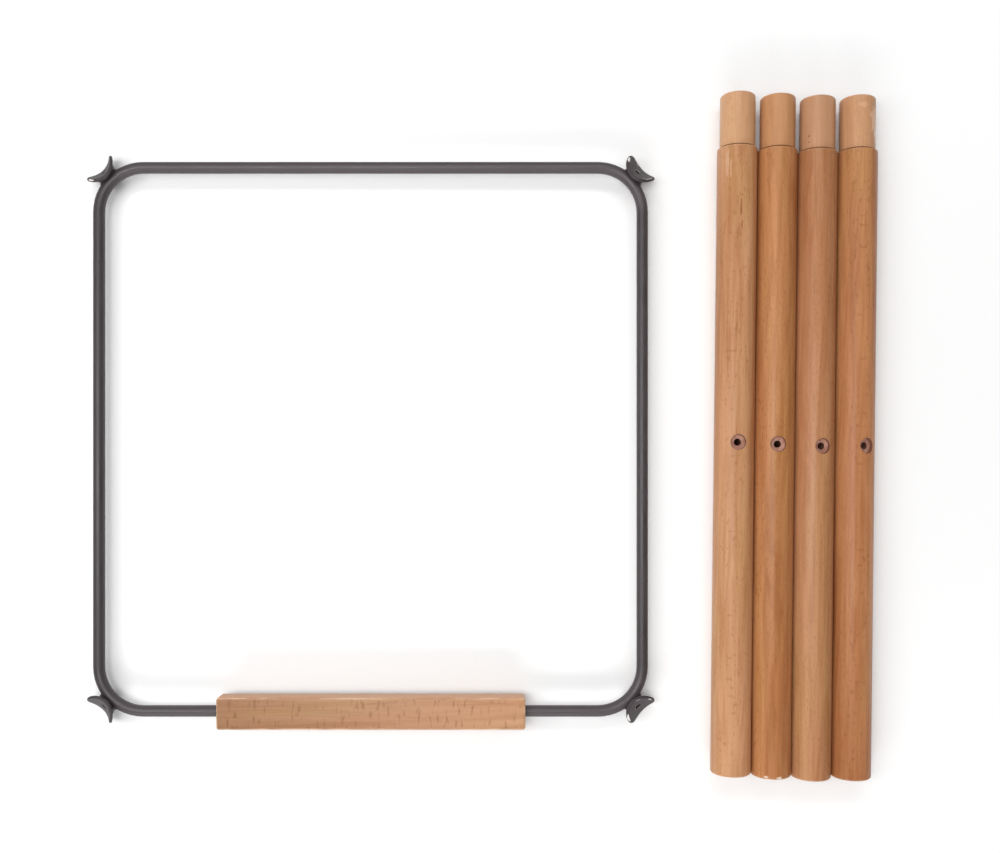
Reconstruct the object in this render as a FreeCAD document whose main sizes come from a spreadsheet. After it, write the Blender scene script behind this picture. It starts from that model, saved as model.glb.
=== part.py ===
import FreeCAD, Part
import os

import Sketcher

# A knocked-down set of chair parts, laid out flat: four turned beech legs side by side, and beside
# them a square ring of bent rod with a wooden footrest on its front rail.  Each corner of the ring
# carries a boss and a bent saddle plate, which a bolt through the leg pulls against the leg.
#
# Millimetres.  +Z is up, the set rests on z = 0, the legs lie along +Y with their tenons at +Y, and
# the footrest is on the ring's -Y side.  The origin is the middle of the layout, on the floor.

doc = FreeCAD.newDocument("leg_and_footrest_set")
sheet = doc.addObject("Spreadsheet::Sheet", "sizes")

# name, value, what it is
SIZES = [
    # legs
    ("leg_diameter", 40.0, "turned leg"),
    ("leg_length", 682.5, "foot to the end of the tenon"),
    ("tenon_diameter", 35.0, "reduced upper end"),
    ("tenon_length", 54.0, "shoulder to the end of the tenon"),
    ("bolt_height", 333.0, "bolt hole above the foot"),
    ("bolt_hole_diameter", 7.0, "clearance hole for an M6 bolt, in leg and saddle"),
    ("counterbore_diameter", 15.6, "seat for the bolt's head"),
    ("counterbore_depth", 5.0, "below the leg's surface"),
    ("foot_round", 2.2, "edge of the foot"),
    ("shoulder_round", 0.8, "edge of the shoulder"),
    ("tenon_round", 2.2, "edge of the tenon's end"),
    # ring
    ("ring_width", 560.5, "outside of the rod, left to right"),
    ("ring_depth", 560.5, "outside of the rod, front to rear"),
    ("rod_diameter", 11.5, "bent round bar"),
    ("corner_radius", 45.0, "rod's centreline at a corner"),
    # corner fittings
    ("splay", 33.0, "degrees that a bolted leg leans from upright"),
    ("saddle_diameter", 38.0, "round plate, before it is bent"),
    ("saddle_thickness", 3.0, "plate"),
    ("saddle_clearance", 0.2, "between the saddle's hollow and the leg"),
    ("saddle_reach", 10.0, "rod's centre to the saddle's hollow, along the bolt"),
    ("rod_rise", 8.4, "rod's centre above the bolt, along the leg"),
    ("boss_diameter", 20.0, "spacer between rod and saddle"),
    ("boss_length", 11.0, "spacer, from its inner end to the saddle"),
    ("tap_diameter", 5.0, "tapped for M6"),
    ("weld_width", 1.8, "weld on a boss, and on the rod beside it"),
    ("weld_length", 4.0, "weld along a boss to the saddle"),
    ("weld_setback", 1.3, "weld's thin end behind the middle of the saddle's back"),
    # footrest
    ("footrest_length", 308.5, "along the rail"),
    ("footrest_depth", 32.5, "front to rear"),
    ("footrest_thickness", 22.0, "underside to tread"),
    ("footrest_drop", 6.0, "underside below the rod's centre"),
    ("footrest_shift", 2.0, "to the right of the ring's middle"),
    ("footrest_inset", 0.5, "footrest's middle inside the rail's centreline"),
    ("footrest_round", 3.0, "all edges"),
    ("groove_clearance", 0.15, "between rod and groove"),
    # footrest screws
    ("screw_spacing", 200.0, "one screw to the other"),
    ("screw_diameter", 4.0, "shank"),
    ("screw_head_diameter", 7.6, "countersunk head"),
    ("screw_head_height", 2.2, "countersunk head"),
    ("screw_head_sink", 0.6, "head below the rod's underside"),
    ("screw_bite", 6.0, "thread in the footrest above the rod"),
    ("screw_clearance", 0.05, "all round the shank and the head"),
    ("recess_width", 1.1, "cross recess"),
    ("recess_length", 4.4, "cross recess"),
    ("recess_depth", 1.4, "cross recess"),
    # layout
    ("bundle_gap", 66.9, "ring's side to the first leg, at mid-length"),
    ("bundle_advance", 2.5, "legs' mid-length beyond the ring's middle, towards +Y"),
    ("bundle_lean", 0.65, "degrees that the legs turn towards +X"),
    ("leg_gap", 0.3, "between neighbouring legs"),
    ("first_leg_slip", 1.7, "lengthwise, from the row's middle"),
    ("second_leg_slip", 0.1, "lengthwise, from the row's middle"),
    ("third_leg_slip", -1.3, "lengthwise, from the row's middle"),
    ("fourth_leg_slip", -0.5, "lengthwise, from the row's middle"),
    ("first_leg_turn", 0.0, "degrees about its own axis"),
    ("second_leg_turn", -2.0, "degrees about its own axis"),
    ("third_leg_turn", 10.0, "degrees about its own axis"),
    ("fourth_leg_turn", 21.0, "degrees about its own axis"),
    # worked out below, once the pieces stand
    ("middle_x", 0.0, "ring's middle to the layout's middle"),
    ("middle_y", 0.0, "ring's middle to the layout's middle"),
]

for row, (alias, value, note) in enumerate(SIZES, start=1):
    sheet.set(f"A{row}", note)
    sheet.set(f"B{row}", str(value))
    sheet.setAlias(f"B{row}", alias)
doc.recompute()

# Lengths that follow from the sizes, as expressions.
ROD_RADIUS = "sizes.rod_diameter / 2"
RAIL_X = "(sizes.ring_width - sizes.rod_diameter) / 2"
RAIL_Y = "(sizes.ring_depth - sizes.rod_diameter) / 2"
CORNER_INSET = "sizes.corner_radius * (1 - sqrt(2) / 2)"
SADDLE_BACK = "(sizes.saddle_reach - sizes.saddle_thickness)"
HOLLOW_RADIUS = "(sizes.leg_diameter / 2 + sizes.saddle_clearance)"
LEG_AXIS = f"(sizes.saddle_reach + {HOLLOW_RADIUS})"
SADDLE_MID_RADIUS = f"({HOLLOW_RADIUS} + sizes.saddle_thickness / 2)"
HALF_BEND = f"(sizes.saddle_diameter / (2 * {SADDLE_MID_RADIUS}) * 1 rad)"
BOSS_START = f"({SADDLE_BACK} - sizes.boss_length)"
BOSS_EDGE = "sizes.boss_diameter / 2"
# the saddles' or the bosses' lower rims touch the floor, and that sets the rod's height
LEAN_DOWN = "cos(sizes.splay * 1 deg)"
LEAN_OUT = "sin(sizes.splay * 1 deg)"
SADDLE_DEPTH = f"(sizes.saddle_diameter / 2 + sizes.rod_rise) * {LEAN_DOWN} - {SADDLE_BACK} * {LEAN_OUT}"
BOSS_DEPTH = f"({BOSS_EDGE} + sizes.rod_rise) * {LEAN_DOWN} - {BOSS_START} * {LEAN_OUT}"
ROD_HEIGHT = f"max({SADDLE_DEPTH}; {BOSS_DEPTH})"
WELD_EDGE = "sizes.boss_diameter / 2 + sizes.weld_width"
SCREW_FACE = f"(sizes.screw_head_sink - {ROD_RADIUS})"
FAR = "(3 * sizes.leg_diameter)"

# corner name, turn about +Z of its outward diagonal, signs of x and y
CORNERS = [
    ("rear_right", 45, 1, 1),
    ("rear_left", 135, -1, 1),
    ("front_left", 225, -1, -1),
    ("front_right", 315, 1, -1),
]
LEGS = ["first_leg", "second_leg", "third_leg", "fourth_leg"]
MIDDLE_LEG = (len(LEGS) - 1) / 2
HALF_ROW = f"({len(LEGS)} * sizes.leg_diameter + {len(LEGS) - 1} * sizes.leg_gap) / 2"
SCREWS = [("left", -1), ("right", 1)]

# lengths closer than this are the same
SAME = 0.01

pieces = []


def add(kind, name, **bindings):
    """A new object with its sizes bound to expressions."""
    new = doc.addObject(kind, name)
    for prop, expression in bindings.items():
        new.setExpression(prop, expression)
    return new


def place(target, x="0", y="0", z="0", yaw="0", pitch="0", roll="0"):
    """Bind a Placement: turned about X by roll, about Y by pitch, about Z by yaw, then moved."""
    spot = f"create(<<vector>>; {x}; {y}; {z})"
    turn = f"create(<<rotation>>; {yaw}; {pitch}; {roll})"
    target.setExpression("Placement", f"create(<<placement>>; {spot}; {turn})")
    return target


def boolean(kind, name, base, tool):
    """A Part::Cut or Part::Common of two objects."""
    new = doc.addObject(kind, name)
    new.Base = base
    new.Tool = tool
    return new


def fuse(name, shapes):
    """One object from several that overlap or touch."""
    new = doc.addObject("Part::MultiFuse", name)
    new.Shapes = shapes
    return new


def finish(piece, label):
    """Name a finished piece, which also names its file."""
    piece.Label = label
    pieces.append(piece)
    return piece


def sketch_on(body, name, role):
    """A sketch of the body on one of its own origin planes."""
    sketch = body.newObject("Sketcher::SketchObject", name)
    origin_plane = next(part for part in body.Origin.OriginFeatures if part.Role == role)
    sketch.AttachmentSupport = [(origin_plane, "")]
    sketch.MapMode = "FlatFace"
    return sketch


# --- ring: one bent rod, drilled for the footrest's screws -------------------------------------------
# Ring frame: the ring's middle at the origin, the rod's axis at z = 0.

def in_ring(piece):
    """Put a piece made in the ring's frame at its place on the floor."""
    return place(piece, x="sizes.middle_x", y="sizes.middle_y", z=ROD_HEIGHT)


def rail(name, length, **spot):
    """A straight stretch of rod."""
    return place(add("Part::Cylinder", name, Radius=ROD_RADIUS, Height=length), **spot)


def bent_rod():
    """Four rails and four quarter bends, as one rod."""
    run_x = f"2 * ({RAIL_X} - sizes.corner_radius)"
    run_y = f"2 * ({RAIL_Y} - sizes.corner_radius)"
    stretches = [
        rail("front_rail", run_x, x=f"-{run_x} / 2", y=f"-{RAIL_Y}", pitch="90"),
        rail("rear_rail", run_x, x=f"-{run_x} / 2", y=RAIL_Y, pitch="90"),
        rail("left_rail", run_y, x=f"-{RAIL_X}", y=f"{run_y} / 2", roll="90"),
        rail("right_rail", run_y, x=RAIL_X, y=f"{run_y} / 2", roll="90"),
    ]
    for corner, turn, side_x, side_y in CORNERS:
        bend = add(
            "Part::Torus",
            f"{corner}_bend",
            Radius1="sizes.corner_radius",
            Radius2=ROD_RADIUS,
        )
        bend.Angle3 = 90
        place(bend, x=f"{side_x} * {run_x} / 2", y=f"{side_y} * {run_y} / 2", yaw=str(turn - 45))
        stretches.append(bend)
    return fuse("bent_rod", stretches)


def screw_blank(name, side, growth):
    """A countersunk screw that points up through the front rail, larger all round by growth."""
    x = f"sizes.footrest_shift + {side} * sizes.screw_spacing / 2"
    head = add(
        "Part::Cone",
        f"{name}_head",
        Radius1=f"sizes.screw_head_diameter / 2 + {growth}",
        Radius2=f"sizes.screw_diameter / 2 + {growth}",
        Height="sizes.screw_head_height",
    )
    place(head, x=x, y=f"-{RAIL_Y}", z=SCREW_FACE)
    shank = add(
        "Part::Cylinder",
        f"{name}_shank",
        Radius=f"sizes.screw_diameter / 2 + {growth}",
        Height=f"{ROD_RADIUS} + sizes.screw_bite - {SCREW_FACE}",
    )
    place(shank, x=x, y=f"-{RAIL_Y}", z=SCREW_FACE)
    return [head, shank]


def screw_drilling(name, side):
    """The screw's countersunk hole, open below."""
    access = add(
        "Part::Cylinder",
        f"{name}_access",
        Radius="sizes.screw_head_diameter / 2 + sizes.screw_clearance",
        Height="sizes.rod_diameter",
    )
    x = f"sizes.footrest_shift + {side} * sizes.screw_spacing / 2"
    place(access, x=x, y=f"-{RAIL_Y}", z=f"{SCREW_FACE} - sizes.rod_diameter")
    return fuse(name, screw_blank(name, side, "sizes.screw_clearance") + [access])


def ring_rod():
    """The bent rod with its screw holes."""
    holes = [screw_drilling(f"rod_drilling_{name}", side) for name, side in SCREWS]
    piece = boolean("Part::Cut", "drilled_rod", bent_rod(), fuse("rod_holes", holes))
    return finish(in_ring(piece), "ring_rod")


def footrest():
    """A wooden bar over the front rail, grooved from below and piloted for its screws."""
    body = doc.addObject("PartDesign::Body", "footrest_bar")
    bar = body.newObject("PartDesign::AdditiveBox", "bar")
    bar.setExpression("Length", "sizes.footrest_length")
    bar.setExpression("Width", "sizes.footrest_depth")
    bar.setExpression("Height", "sizes.footrest_thickness")
    doc.recompute()
    rounding = body.newObject("PartDesign::Fillet", "bar_rounding")
    rounding.Base = (bar, [f"Edge{number}" for number in range(1, len(bar.Shape.Edges) + 1)])
    rounding.setExpression("Radius", "sizes.footrest_round")
    place(
        body,
        x="sizes.footrest_shift - sizes.footrest_length / 2",
        y=f"-{RAIL_Y} + sizes.footrest_inset - sizes.footrest_depth / 2",
        z="-sizes.footrest_drop",
    )
    groove_radius = f"({ROD_RADIUS} + sizes.groove_clearance)"
    reach = "(2 * sizes.footrest_length)"
    roof = add("Part::Cylinder", "groove_roof", Radius=groove_radius, Height=reach)
    place(roof, x=f"-{reach} / 2", y=f"-{RAIL_Y}", pitch="90")
    slot = add(
        "Part::Box",
        "groove_slot",
        Length=reach,
        Width=f"2 * {groove_radius}",
        Height="2 * sizes.footrest_drop",
    )
    place(slot, x=f"-{reach} / 2", y=f"-{RAIL_Y} - {groove_radius}", z="-2 * sizes.footrest_drop")
    pilots = [screw_drilling(f"footrest_pilot_{name}", side) for name, side in SCREWS]
    cuts = fuse("footrest_cuts", [roof, slot] + pilots)
    piece = boolean("Part::Cut", "grooved_bar", body, cuts)
    return finish(in_ring(piece), "footrest")


def screw(name, side):
    """A countersunk screw with a cross recess in its head."""
    blank = fuse(f"screw_blank_{name}", screw_blank(f"screw_{name}", side, "0"))
    slots = []
    for along, across in (("length", "width"), ("width", "length")):
        slot = add(
            "Part::Box",
            f"recess_{along}_{name}",
            Length=f"sizes.recess_{along}",
            Width=f"sizes.recess_{across}",
            Height="2 * sizes.recess_depth",
        )
        slots.append(place(
            slot,
            x=f"sizes.footrest_shift + {side} * sizes.screw_spacing / 2 - sizes.recess_{along} / 2",
            y=f"-{RAIL_Y} - sizes.recess_{across} / 2",
            z=f"{SCREW_FACE} - sizes.recess_depth",
        ))
    piece = boolean("Part::Cut", f"slotted_screw_{name}", blank, fuse(f"recess_{name}", slots))
    return finish(in_ring(piece), f"footrest_screw_{name}")


# --- corner fittings: a boss on the rod, a bent saddle plate on the boss, and their welds ----------
# Corner frame: the rod's centre at the origin, the leg along +Z, the bolt along +X below the origin.

def at_corner(piece, corner):
    """Put a piece made in the corner frame at its corner."""
    name, turn, side_x, side_y = corner
    return place(
        piece,
        x=f"sizes.middle_x + {side_x} * ({RAIL_X} - {CORNER_INSET})",
        y=f"sizes.middle_y + {side_y} * ({RAIL_Y} - {CORNER_INSET})",
        z=ROD_HEIGHT,
        yaw=str(turn),
        pitch="-sizes.splay",
    )


def along_bolt(name, radius, start):
    """A cylinder about the bolt's axis, from start to the leg's axis."""
    bar = add("Part::Cylinder", name, Radius=radius, Height=f"{LEG_AXIS} - {start}")
    return place(bar, x=start, z="-sizes.rod_rise", pitch="90")


def leg_side(name, extra):
    """All that lies within the saddle's hollow, and extra behind it."""
    post = add("Part::Cylinder", name, Radius=f"{HOLLOW_RADIUS} + {extra}", Height=FAR)
    return place(post, x=LEG_AXIS, z=f"-{FAR} / 2")


def rod_bend(name, growth="0"):
    """The rod's bend, thicker all round by growth."""
    bend = add("Part::Torus", name, Radius1="sizes.corner_radius", Radius2=f"{ROD_RADIUS} + {growth}")
    return place(
        bend,
        x="-sizes.corner_radius * cos(sizes.splay * 1 deg)",
        z="sizes.corner_radius * sin(sizes.splay * 1 deg)",
        pitch="sizes.splay",
    )


def saddle(corner):
    """A round plate, bent to the leg and drilled for the bolt."""
    name = corner[0]
    disc = add(
        "Part::Ellipse",
        f"{name}_disc",
        MajorRadius="sizes.saddle_diameter / 2",
        MinorRadius=f"{SADDLE_MID_RADIUS} * sin({HALF_BEND})",
    )
    blank = add("Part::Extrusion", f"{name}_blank", LengthFwd=LEG_AXIS)
    blank.Base = disc
    blank.DirMode = "Custom"
    blank.Dir = FreeCAD.Vector(0, 0, 1)
    blank.Solid = True
    place(blank, z="-sizes.rod_rise", pitch="90")
    shell = boolean(
        "Part::Cut",
        f"{name}_shell",
        leg_side(f"{name}_back", "sizes.saddle_thickness"),
        leg_side(f"{name}_hollow", "0"),
    )
    bent = boolean("Part::Common", f"{name}_bent_plate", shell, blank)
    hole = along_bolt(f"{name}_plate_hole", "sizes.bolt_hole_diameter / 2", "0")
    piece = boolean("Part::Cut", f"{name}_plate", bent, hole)
    return finish(at_corner(piece, corner), f"saddle_{name}")


def boss(corner):
    """A tapped spacer, coped to the rod at one end and to the saddle's back at the other."""
    name = corner[0]
    bar = along_bolt(f"{name}_bar", "sizes.boss_diameter / 2", BOSS_START)
    cuts = [
        rod_bend(f"{name}_cope"),
        leg_side(f"{name}_seat", "sizes.saddle_thickness"),
        along_bolt(f"{name}_thread", "sizes.tap_diameter / 2", BOSS_START),
    ]
    piece = boolean("Part::Cut", f"{name}_spacer", bar, fuse(f"{name}_boss_cuts", cuts))
    return finish(at_corner(piece, corner), f"boss_{name}")


def rod_weld(corner):
    """The weld round the boss where the rod lies in it."""
    name = f"{corner[0]}_rod_weld"
    ring = boolean(
        "Part::Common",
        f"{name}_blank",
        along_bolt(f"{name}_round_boss", WELD_EDGE, BOSS_START),
        rod_bend(f"{name}_round_rod", "sizes.weld_width"),
    )
    cuts = [
        along_bolt(f"{name}_core", BOSS_EDGE, f"2 * {BOSS_START}"),
        rod_bend(f"{name}_cope"),
        leg_side(f"{name}_seat", "sizes.saddle_thickness"),
    ]
    piece = boolean("Part::Cut", f"{name}_bead", ring, fuse(f"{name}_cuts", cuts))
    return finish(at_corner(piece, corner), f"weld_rod_{corner[0]}")


def saddle_weld(corner):
    """The weld round the boss where it meets the saddle's back, up to the rod's own weld."""
    name = f"{corner[0]}_saddle_weld"
    cone = add(
        "Part::Cone",
        f"{name}_blank",
        Radius1=BOSS_EDGE,
        Radius2=WELD_EDGE,
        Height="sizes.weld_length",
    )
    place(cone, x=f"{SADDLE_BACK} - sizes.weld_setback", z="-sizes.rod_rise", pitch="90")
    cuts = [
        along_bolt(f"{name}_core", BOSS_EDGE, BOSS_START),
        rod_bend(f"{name}_round_rod", "sizes.weld_width"),
        leg_side(f"{name}_seat", "sizes.saddle_thickness"),
    ]
    piece = boolean("Part::Cut", f"{name}_bead", cone, fuse(f"{name}_cuts", cuts))
    return finish(at_corner(piece, corner), f"weld_saddle_{corner[0]}")


# --- legs: turned from one piece each, about local +Z from the foot, bolt's head on the -Y side ----

def turned_profile(body, name):
    """Half of a leg's outline: the shaft's radius up to the shoulder, then the tenon's."""
    sketch = sketch_on(body, f"{name}_profile", "XZ_Plane")
    shaft = sheet.get("leg_diameter") / 2
    neck = sheet.get("tenon_diameter") / 2
    top = sheet.get("leg_length")
    shoulder = top - sheet.get("tenon_length")
    outline = [(0, 0), (shaft, 0), (shaft, shoulder), (neck, shoulder), (neck, top), (0, top)]
    count = len(outline)
    for index in range(count):
        start = FreeCAD.Vector(*outline[index], 0)
        end = FreeCAD.Vector(*outline[(index + 1) % count], 0)
        sketch.addGeometry(Part.LineSegment(start, end), False)
    for index in range(count):
        sketch.addConstraint(Sketcher.Constraint("Coincident", index, 2, (index + 1) % count, 1))
        sketch.addConstraint(Sketcher.Constraint("Horizontal" if index % 2 == 0 else "Vertical", index))
    sketch.addConstraint(Sketcher.Constraint("Coincident", 0, 1, -1, 1))
    spans = [
        ("DistanceX", 0, 1, 0, 2, shaft, "shaft_radius", "sizes.leg_diameter / 2"),
        ("DistanceX", 4, 2, 4, 1, neck, "tenon_radius", "sizes.tenon_diameter / 2"),
        ("DistanceY", 1, 1, 1, 2, shoulder, "shoulder", "sizes.leg_length - sizes.tenon_length"),
        ("DistanceY", 5, 2, 5, 1, top, "length", "sizes.leg_length"),
    ]
    for kind, line_a, end_a, line_b, end_b, length, title, expression in spans:
        number = sketch.addConstraint(Sketcher.Constraint(kind, line_a, end_a, line_b, end_b, length))
        sketch.renameConstraint(number, title)
        sketch.setExpression(f"Constraints.{title}", expression)
    return sketch


def round_edge(body, base, name, height, radius, round_by):
    """Round the circular edge of a given height and radius."""
    chosen = []
    for number, edge in enumerate(base.Shape.Edges, start=1):
        box = edge.BoundBox
        flat = abs(box.ZMax - height) < SAME and box.ZLength < SAME
        if flat and abs(box.XMax - radius) < SAME:
            chosen.append(f"Edge{number}")
    rounding = body.newObject("PartDesign::Fillet", name)
    rounding.Base = (base, chosen[:1])
    rounding.setExpression("Radius", f"sizes.{round_by}")
    doc.recompute()
    return rounding


def leg(name, number):
    """A turned leg with a tenon, and a counterbored hole for its bolt."""
    body = doc.addObject("PartDesign::Body", f"{name}_turned")
    profile = turned_profile(body, name)
    turned = body.newObject("PartDesign::Revolution", f"{name}_turning")
    turned.Profile = profile
    turned.ReferenceAxis = (profile, ["V_Axis"])
    turned.Angle = 360
    doc.recompute()
    shaft = sheet.get("leg_diameter") / 2
    neck = sheet.get("tenon_diameter") / 2
    shoulder = sheet.get("leg_length") - sheet.get("tenon_length")
    foot = round_edge(body, turned, f"{name}_foot", 0, shaft, "foot_round")
    shelf = round_edge(body, foot, f"{name}_shoulder", shoulder, shaft, "shoulder_round")
    round_edge(body, shelf, f"{name}_tip", sheet.get("leg_length"), neck, "tenon_round")

    spot = sketch_on(body, f"{name}_bolt_spot", "XZ_Plane")
    spot.setExpression("AttachmentOffset.Base.z", "sizes.leg_diameter / 2")
    bolt_height = sheet.get("bolt_height")
    bolt_radius = sheet.get("bolt_hole_diameter") / 2
    circle = Part.Circle(FreeCAD.Vector(0, bolt_height, 0), FreeCAD.Vector(0, 0, 1), bolt_radius)
    spot.addGeometry(circle, False)
    spot.addConstraint(Sketcher.Constraint("PointOnObject", 0, 3, -2))
    centre = spot.addConstraint(Sketcher.Constraint("DistanceY", -1, 1, 0, 3, bolt_height))
    spot.renameConstraint(centre, "height")
    spot.setExpression("Constraints.height", "sizes.bolt_height")
    width = spot.addConstraint(Sketcher.Constraint("Radius", 0, bolt_radius))
    spot.renameConstraint(width, "radius")
    spot.setExpression("Constraints.radius", "sizes.bolt_hole_diameter / 2")
    doc.recompute()
    hole = body.newObject("PartDesign::Hole", f"{name}_bolt_hole")
    hole.Profile = spot
    hole.ThreadType = "None"
    hole.DepthType = "ThroughAll"
    hole.HoleCutType = "Counterbore"
    hole.HoleCutCustomValues = True
    hole.setExpression("Diameter", "sizes.bolt_hole_diameter")
    hole.setExpression("HoleCutDiameter", "sizes.counterbore_diameter")
    hole.setExpression("HoleCutDepth", "sizes.counterbore_depth")
    doc.recompute()

    lean = "sizes.bundle_lean * 1 deg"
    across = f"({number - MIDDLE_LEG} * (sizes.leg_diameter + sizes.leg_gap))"
    along = f"(sizes.{name}_slip - sizes.leg_length / 2)"
    row_x = f"sizes.ring_width / 2 + sizes.bundle_gap + {HALF_ROW}"
    place(
        body,
        x=f"sizes.middle_x + {row_x} + {across} * cos({lean}) + {along} * sin({lean})",
        y=f"sizes.middle_y + sizes.bundle_advance - {across} * sin({lean}) + {along} * cos({lean})",
        z="sizes.leg_diameter / 2",
        yaw="-sizes.bundle_lean",
        pitch=f"sizes.{name}_turn",
        roll="-90",
    )
    return finish(body, name)


def centre_layout():
    """Shift every piece so that the layout's middle is the origin."""
    doc.recompute()
    extent = FreeCAD.BoundBox()
    for piece in pieces:
        extent.add(piece.Shape.optimalBoundingBox(False, False))
    for alias, middle in (("middle_x", extent.Center.x), ("middle_y", extent.Center.y)):
        sheet.set(sheet.getCellFromAlias(alias), str(-middle))
    doc.recompute()


def check():
    """Stop if any object failed or any piece isn't a sound solid."""
    for thing in doc.Objects:
        if "Invalid" in thing.State or "Error" in thing.State:
            raise SystemExit(f"{thing.Name} failed: {thing.State}")
    for piece in pieces:
        if piece.Shape.isNull() or not piece.Shape.isValid() or not piece.Shape.Solids:
            raise SystemExit(f"{piece.Label} has no sound shape")


ring_rod()
footrest()
for name, side in SCREWS:
    screw(name, side)
for corner in CORNERS:
    boss(corner)
    rod_weld(corner)
    saddle(corner)
    saddle_weld(corner)
for number, name in enumerate(LEGS):
    leg(name, number)
centre_layout()
check()

os.makedirs("parts", exist_ok=True)
for piece in pieces:
    piece.Shape.exportStep(f"parts/{piece.Label}.step")
    print(piece.Label, len(piece.Shape.Solids), round(piece.Shape.Volume, 1))
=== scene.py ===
import math

import bmesh
import bpy
from mathutils import Matrix, Vector, noise


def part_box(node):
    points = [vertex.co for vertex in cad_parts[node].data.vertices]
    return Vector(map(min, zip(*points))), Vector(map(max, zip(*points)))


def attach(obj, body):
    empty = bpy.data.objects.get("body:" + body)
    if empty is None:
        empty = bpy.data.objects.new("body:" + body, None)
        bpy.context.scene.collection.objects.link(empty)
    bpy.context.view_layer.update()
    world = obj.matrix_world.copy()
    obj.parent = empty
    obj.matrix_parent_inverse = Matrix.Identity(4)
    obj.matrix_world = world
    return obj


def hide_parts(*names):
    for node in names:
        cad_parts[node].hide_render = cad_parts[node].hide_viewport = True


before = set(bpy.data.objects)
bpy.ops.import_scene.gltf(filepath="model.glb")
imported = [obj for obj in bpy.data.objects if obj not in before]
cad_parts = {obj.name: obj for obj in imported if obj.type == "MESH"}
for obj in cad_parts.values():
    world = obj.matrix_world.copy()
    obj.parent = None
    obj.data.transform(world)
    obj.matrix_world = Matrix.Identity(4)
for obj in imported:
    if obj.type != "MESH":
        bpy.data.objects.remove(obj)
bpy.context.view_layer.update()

# A knocked-down set of chair parts on a pale floor, seen from straight above: four turned beech legs
# and a square ring of bent rod with a footrest and saddle plates.  The CAD nodes give every place.
# Metres, +Z up, +Y along the legs from foot to tenon.

MM = 0.001
CORNERS = [("rear_right", 45), ("rear_left", 135), ("front_left", 225), ("front_right", 315)]
LEGS = ["first_leg", "second_leg", "third_leg", "fourth_leg"]

# the CAD's sizes that the finer pieces repeat
LEG_RADIUS = 20 * MM
TENON_RADIUS = 17.5 * MM
LEG_LENGTH = 682.5 * MM
TENON_LENGTH = 54 * MM
SHOULDER = LEG_LENGTH - TENON_LENGTH
BOLT_HEIGHT = 333 * MM
BOLT_RADIUS = 3.5 * MM
SEAT_RADIUS = 7.8 * MM
SEAT_DEPTH = 5 * MM
LEAN = math.radians(0.65)
LEG_TURNS = [0, -2, 10, 21]
ROD_RADIUS = 5.75 * MM
RING_BEND = 45 * MM
SPLAY = math.radians(33)
ROD_RISE = 8.4 * MM
PLATE_RADIUS = 19 * MM
PLATE_THICKNESS = 3 * MM
HOLLOW_RADIUS = 20.2 * MM
PLATE_REACH = 10 * MM

# sizes that only the finer pieces have
PLATE_EASE = 1.2 * MM
HOLE_LIP = 0.3 * MM
SEAT_RIM = 0.35 * MM
FOOT_ROUND = 2.2 * MM
LIP_ROUND = 0.8 * MM
TIP_ROUND = 2.2 * MM


# --- shader nodes ------------------------------------------------------------------------------------

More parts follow.
